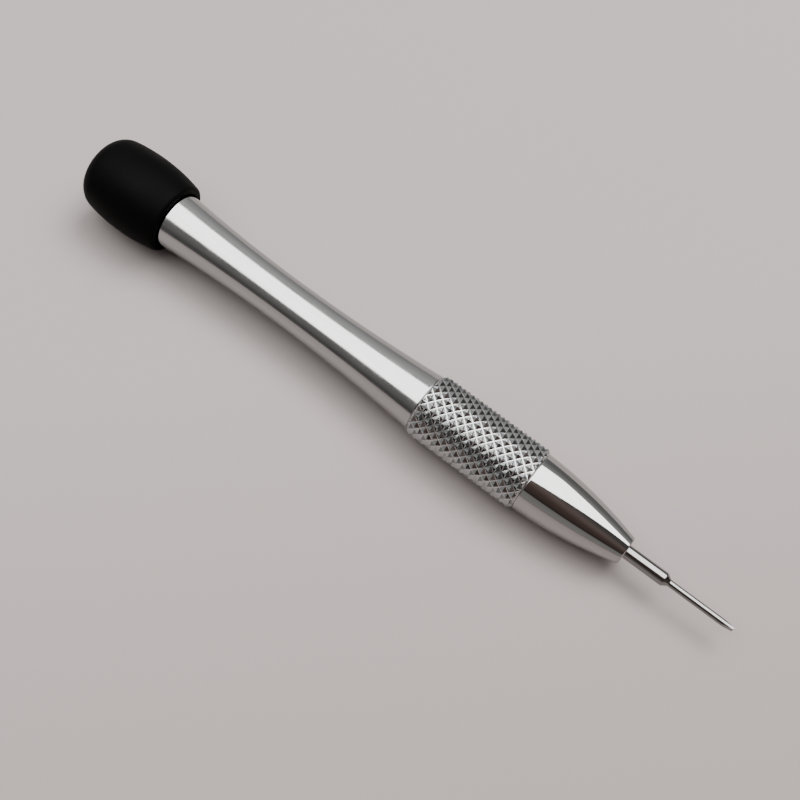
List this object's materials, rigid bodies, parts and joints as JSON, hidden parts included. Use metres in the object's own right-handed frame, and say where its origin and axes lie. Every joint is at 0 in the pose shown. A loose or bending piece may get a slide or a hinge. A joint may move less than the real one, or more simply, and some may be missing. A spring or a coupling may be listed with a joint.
{
  "type": "watchmaker screwdriver",
  "caption": "Slim precision screwdriver with a waisted metal handle, knurled grip, polished nose, narrow flat blade and a ball-bearing swivel cap for the fingertip.",
  "frame": {"origin": "middle of the blade's tip edge, on the tool's axis", "axes": "+X along the tool's axis from the cap to the blade's tip and out of it; the blade's width stands along Z and its thickness lies along Y"},
  "size_m": [0.1085, 0.0122, 0.0122],
  "materials": {
    "satin_aluminium": "fine turned, satin bright",
    "knurled_metal": "bright diamond knurl",
    "polished_nose": "mirror polished",
    "blade_steel": "bright ground",
    "black_plastic": "black, satin gloss",
    "plug_plastic": "black, fine matt",
    "black_steel": "black oxide",
    "plain_steel": "bright",
    "bearing_steel": "ground",
    "ball_steel": "polished",
    "cage_brass": "bright"
  },
  "bodies": {
    "handle": {"handle": "satin_aluminium", "grip_sleeve": "knurled_metal", "nose": "polished_nose", "joining_stud": "plain_steel", "bearing_spacer": "cage_brass", "bearing_inner_ring": "bearing_steel", "spring_washer": "black_steel", "pivot_screw": "black_steel"},
    "cap": {"cap_shell": "black_plastic", "cap_end_plug": "plug_plastic", "cap_retaining_ring": "plain_steel", "bearing_outer_ring": "bearing_steel", "bearing_shield_front": "plain_steel", "bearing_shield_rear": "plain_steel"},
    "ball_cage": {"bearing_cage": "cage_brass", "bearing_balls": "ball_steel"},
    "blade": {"blade": "blade_steel"},
    "set_screw": {"blade_screw": "black_steel"}
  },
  "joints": [
    {"name": "cap_spin", "type": "hinge", "parent": "handle", "child": "cap", "pos_m": [-0.0985, 0, 0], "axis": [1, 0, 0], "continuous": true},
    {"name": "cage_spin", "type": "hinge", "parent": "handle", "child": "ball_cage", "pos_m": [-0.0985, 0, 0], "axis": [1, 0, 0], "continuous": true},
    {"name": "blade_slide", "type": "slide", "parent": "handle", "child": "blade", "axis": [1, 0, 0], "range_m": [0, 0.0105]},
    {"name": "set_screw_travel", "type": "slide", "parent": "handle", "child": "set_screw", "axis": [0, 0, -1], "range_m": [0, 0.0024]}
  ],
  "couplings": [
    {"joint": "cage_spin", "follows": "cap_spin", "ratio": 0.6345}
  ]
}
